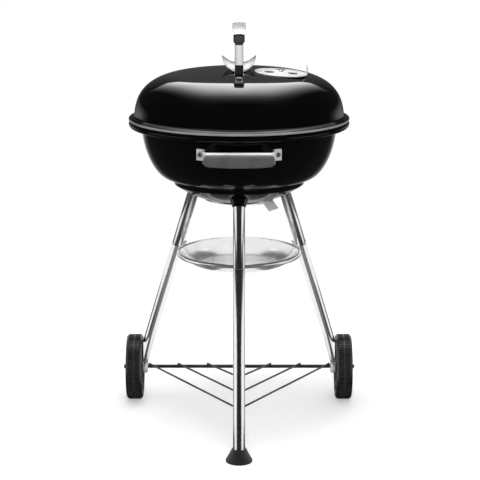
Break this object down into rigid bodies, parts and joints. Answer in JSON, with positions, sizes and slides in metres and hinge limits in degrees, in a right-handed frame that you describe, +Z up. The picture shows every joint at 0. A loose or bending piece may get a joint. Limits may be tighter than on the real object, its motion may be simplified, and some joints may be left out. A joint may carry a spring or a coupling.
{
  "type": "kettle charcoal grill",
  "caption": "Round kettle charcoal grill on a tripod of chrome legs, with a lift-off vented lid, ash dish, wire rack and wheels.",
  "frame": {"origin": "on the floor, under the middle of the grill's bounding box", "axes": "+X to the grill's right as seen from its front handle, +Y to the back where the wheels are, +Z up"},
  "size_m": [0.5418, 0.5616, 0.8917],
  "materials": {
    "black_enamel": "gloss porcelain enamel",
    "chrome_tube": "bright plated tube and strap",
    "satin_aluminium": "satin",
    "bright_steel": "zinc plated",
    "grey_nylon": "glass-filled nylon, dark grey",
    "black_plastic": "moulded black plastic",
    "black_wire": "semi-gloss black coat",
    "plated_wire": "plated cooking wire",
    "raw_steel": "plain steel wire"
  },
  "bodies": {
    "frame": {"bowl_shell": "black_enamel", "bowl_handle_strap": "bright_steel", "bowl_handle_grip": "grey_nylon", "bowl_handle_screw_left": "bright_steel", "bowl_handle_screw_right": "bright_steel", "grate_support_1": "bright_steel", "grate_support_2": "bright_steel", "grate_support_3": "bright_steel", "grate_support_4": "bright_steel", "vent_rivet": "bright_steel", "front_foot": "black_plastic", "axle": "black_wire", "bottom_rack": "black_wire", "leg_socket_front": "black_enamel", "upper_leg_front": "chrome_tube", "lower_leg_front": "chrome_tube", "dish_clip_front": "bright_steel", "leg_socket_right": "black_enamel", "upper_leg_right": "chrome_tube", "lower_leg_right": "chrome_tube", "dish_clip_right": "bright_steel", "leg_socket_left": "black_enamel", "upper_leg_left": "chrome_tube", "lower_leg_left": "chrome_tube", "dish_clip_left": "bright_steel", "leg_plug_left": "black_plastic", "hub_cap_left": "black_plastic", "axle_washer_left": "bright_steel", "leg_plug_right": "black_plastic", "hub_cap_right": "black_plastic", "axle_washer_right": "bright_steel"},
    "lid": {"lid_shell": "black_enamel", "lid_handle_strap": "bright_steel", "lid_handle_grip": "grey_nylon", "lid_handle_cap": "chrome_tube", "lid_heat_shield": "satin_aluminium", "lid_handle_screw_front": "bright_steel", "lid_handle_screw_rear": "bright_steel", "lid_handle_nut_front": "bright_steel", "lid_handle_nut_rear": "bright_steel", "lid_damper_rivet": "bright_steel"},
    "lid_damper": {"lid_damper": "satin_aluminium"},
    "wheel_left": {"wheel_left": "black_plastic"},
    "wheel_right": {"wheel_right": "black_plastic"},
    "vent_plate": {"vent_plate": "satin_aluminium"},
    "ash_dish": {"ash_dish": "satin_aluminium"},
    "cooking_grate": {"cooking_grate": "plated_wire"},
    "charcoal_grate": {"charcoal_grate": "raw_steel"}
  },
  "joints": [
    {"name": "lid_lift", "type": "slide", "parent": "frame", "child": "lid", "axis": [0, 0, 1], "range_m": [0, 0.25]},
    {"name": "lid_damper_turn", "type": "hinge", "parent": "lid", "child": "lid_damper", "pos_m": [0.09, 0.00255, 0.78935], "axis": [0.0665, -0.0273, 0.9974], "range_deg": [0, 60]},
    {"name": "wheel_left_spin", "type": "hinge", "parent": "frame", "child": "wheel_left", "pos_m": [-0.2442, 0.17278, 0.0761], "axis": [1, 0, 0], "continuous": true},
    {"name": "wheel_right_spin", "type": "hinge", "parent": "frame", "child": "wheel_right", "pos_m": [0.2442, 0.17278, 0.0761], "axis": [1, 0, 0], "continuous": true},
    {"name": "vent_turn", "type": "hinge", "parent": "frame", "child": "vent_plate", "pos_m": [0, 0.03955, 0.495], "axis": [0, 0, 1], "range_deg": [0, 60]},
    {"name": "ash_dish_lift", "type": "slide", "parent": "frame", "child": "ash_dish", "axis": [0, 0, 1], "range_m": [0, 0.02]},
    {"name": "cooking_grate_lift", "type": "slide", "parent": "frame", "child": "cooking_grate", "axis": [0, 0, 1], "range_m": [0, 0.05]},
    {"name": "charcoal_grate_lift", "type": "slide", "parent": "frame", "child": "charcoal_grate", "axis": [0, 0, 1], "range_m": [0, 0.05]}
  ]
}
